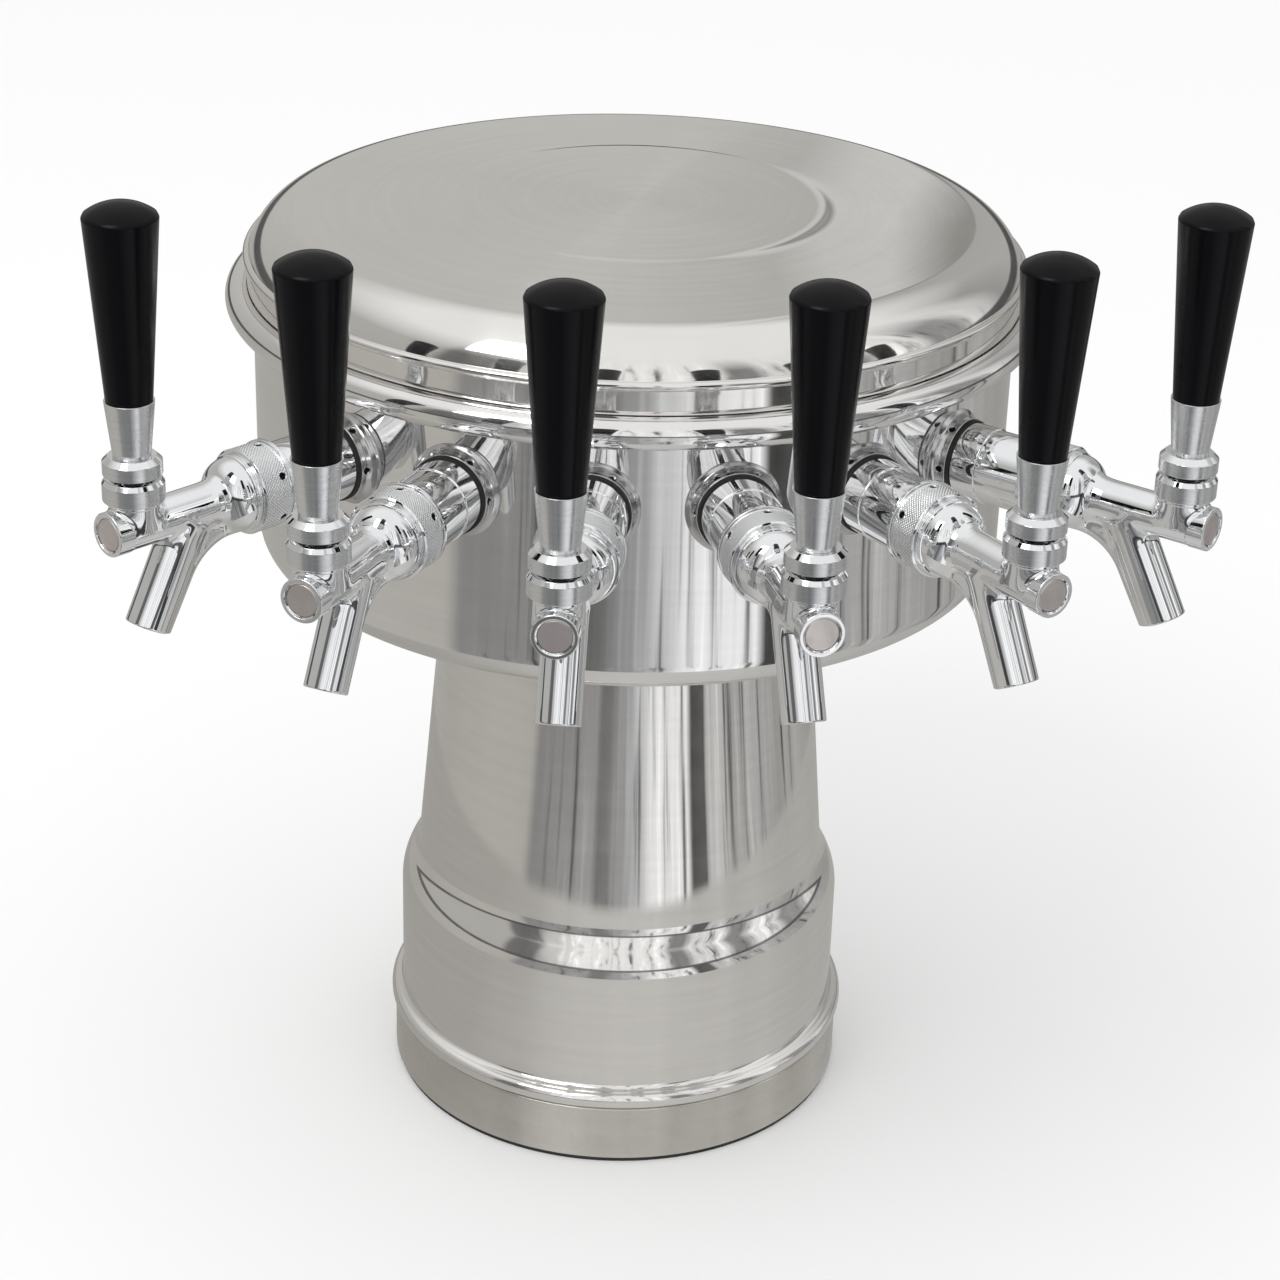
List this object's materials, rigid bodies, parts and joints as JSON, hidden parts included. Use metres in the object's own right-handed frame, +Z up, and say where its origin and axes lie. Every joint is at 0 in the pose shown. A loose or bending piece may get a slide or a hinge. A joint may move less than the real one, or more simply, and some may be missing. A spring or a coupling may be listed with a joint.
{
  "type": "beer tap tower",
  "caption": "Drum-headed draught tower on a tapered column, with lever faucets fanned round the front, a lift-off lid, and beer and coolant lines inside.",
  "frame": {"origin": "centre of the underside of the base gasket, on the counter", "axes": "+Z up along the column; the middle of the fan of taps faces -Y; +X to the right seen from the front"},
  "size_m": [0.4374, 0.4574, 0.4788],
  "materials": {
    "polished_steel": "polished, faint turning marks",
    "brushed_band": "brushed round the band",
    "satin_steel": "satin",
    "plain_steel": "machined",
    "chrome": "bright",
    "satin_chrome": "satin",
    "aluminium": "satin, turned",
    "grip_black": "gloss",
    "black_rubber": "matt",
    "gasket_rubber": "matt",
    "copper": null,
    "brass": "plated brass",
    "hose": "smooth flexible hose",
    "white_plastic": "moulded"
  },
  "bodies": {
    "tower": {"drum_shell": "polished_steel", "column_shell": "polished_steel", "neck_ring": "plain_steel", "neck_screws": "plain_steel", "base_ring": "brushed_band", "base_gasket": "gasket_rubber", "coolant_loop": "copper", "shank_collars": "satin_steel", "shank_washers": "black_rubber", "shank_sleeves": "chrome", "shanks": "plain_steel", "coupling_nuts": "chrome", "shank_locknuts": "brass", "tailpieces": "plain_steel", "beverage_lines": "hose", "bonnets": "satin_chrome", "friction_washers": "white_plastic", "faucet_body_1": "chrome", "faucet_body_2": "chrome", "faucet_body_3": "chrome", "faucet_body_4": "chrome", "faucet_body_5": "chrome", "faucet_body_6": "chrome"},
    "lid": {"lid": "polished_steel"},
    "lever_1": {"lever_1": "plain_steel", "lever_collar_1": "satin_chrome", "ferrule_1": "aluminium", "grip_1": "grip_black"},
    "plunger_1": {"plunger_1": "plain_steel", "plunger_seal_1": "black_rubber"},
    "lever_2": {"lever_2": "plain_steel", "lever_collar_2": "satin_chrome", "ferrule_2": "aluminium", "grip_2": "grip_black"},
    "plunger_2": {"plunger_2": "plain_steel", "plunger_seal_2": "black_rubber"},
    "lever_3": {"lever_3": "plain_steel", "lever_collar_3": "satin_chrome", "ferrule_3": "aluminium", "grip_3": "grip_black"},
    "plunger_3": {"plunger_3": "plain_steel", "plunger_seal_3": "black_rubber"},
    "lever_4": {"lever_4": "plain_steel", "lever_collar_4": "satin_chrome", "ferrule_4": "aluminium", "grip_4": "grip_black"},
    "plunger_4": {"plunger_4": "plain_steel", "plunger_seal_4": "black_rubber"},
    "lever_5": {"lever_5": "plain_steel", "lever_collar_5": "satin_chrome", "ferrule_5": "aluminium", "grip_5": "grip_black"},
    "plunger_5": {"plunger_5": "plain_steel", "plunger_seal_5": "black_rubber"},
    "lever_6": {"lever_6": "plain_steel", "lever_collar_6": "satin_chrome", "ferrule_6": "aluminium", "grip_6": "grip_black"},
    "plunger_6": {"plunger_6": "plain_steel", "plunger_seal_6": "black_rubber"}
  },
  "joints": [
    {"name": "lid_lift", "type": "slide", "parent": "tower", "child": "lid", "axis": [0, 0, 1], "range_m": [0, 0.08]},
    {"name": "lever_hinge_1", "type": "hinge", "parent": "tower", "child": "lever_1", "pos_m": [-0.203, -0.17802, 0.3634], "axis": [0.6593, -0.7518, 0], "range_deg": [0, 35]},
    {"name": "plunger_slide_1", "type": "slide", "parent": "tower", "child": "plunger_1", "axis": [-0.7518, -0.6593, 0], "range_m": [-0.0076, 0]},
    {"name": "lever_hinge_2", "type": "hinge", "parent": "tower", "child": "lever_2", "pos_m": [-0.13193, -0.23557, 0.3634], "axis": [0.8725, -0.4886, 0], "range_deg": [0, 35]},
    {"name": "plunger_slide_2", "type": "slide", "parent": "tower", "child": "plunger_2", "axis": [-0.4886, -0.8725, 0], "range_m": [-0.0076, 0]},
    {"name": "lever_hinge_3", "type": "hinge", "parent": "tower", "child": "lever_3", "pos_m": [-0.04572, -0.2661, 0.3634], "axis": [0.9856, -0.1693, 0], "range_deg": [0, 35]},
    {"name": "plunger_slide_3", "type": "slide", "parent": "tower", "child": "plunger_3", "axis": [-0.1693, -0.9856, 0], "range_m": [-0.0076, 0]},
    {"name": "lever_hinge_4", "type": "hinge", "parent": "tower", "child": "lever_4", "pos_m": [0.04572, -0.2661, 0.3634], "axis": [0.9856, 0.1693, 0], "range_deg": [0, 35]},
    {"name": "plunger_slide_4", "type": "slide", "parent": "tower", "child": "plunger_4", "axis": [0.1693, -0.9856, 0], "range_m": [-0.0076, 0]},
    {"name": "lever_hinge_5", "type": "hinge", "parent": "tower", "child": "lever_5", "pos_m": [0.13193, -0.23557, 0.3634], "axis": [0.8725, 0.4886, 0], "range_deg": [0, 35]},
    {"name": "plunger_slide_5", "type": "slide", "parent": "tower", "child": "plunger_5", "axis": [0.4886, -0.8725, 0], "range_m": [-0.0076, 0]},
    {"name": "lever_hinge_6", "type": "hinge", "parent": "tower", "child": "lever_6", "pos_m": [0.203, -0.17802, 0.3634], "axis": [0.6593, 0.7518, 0], "range_deg": [0, 35]},
    {"name": "plunger_slide_6", "type": "slide", "parent": "tower", "child": "plunger_6", "axis": [0.7518, -0.6593, 0], "range_m": [-0.0076, 0]}
  ],
  "couplings": [
    {"joint": "plunger_slide_1", "follows": "lever_hinge_1", "m_per_rad": -0.0122},
    {"joint": "plunger_slide_2", "follows": "lever_hinge_2", "m_per_rad": -0.0122},
    {"joint": "plunger_slide_3", "follows": "lever_hinge_3", "m_per_rad": -0.0122},
    {"joint": "plunger_slide_4", "follows": "lever_hinge_4", "m_per_rad": -0.0122},
    {"joint": "plunger_slide_5", "follows": "lever_hinge_5", "m_per_rad": -0.0122},
    {"joint": "plunger_slide_6", "follows": "lever_hinge_6", "m_per_rad": -0.0122}
  ]
}
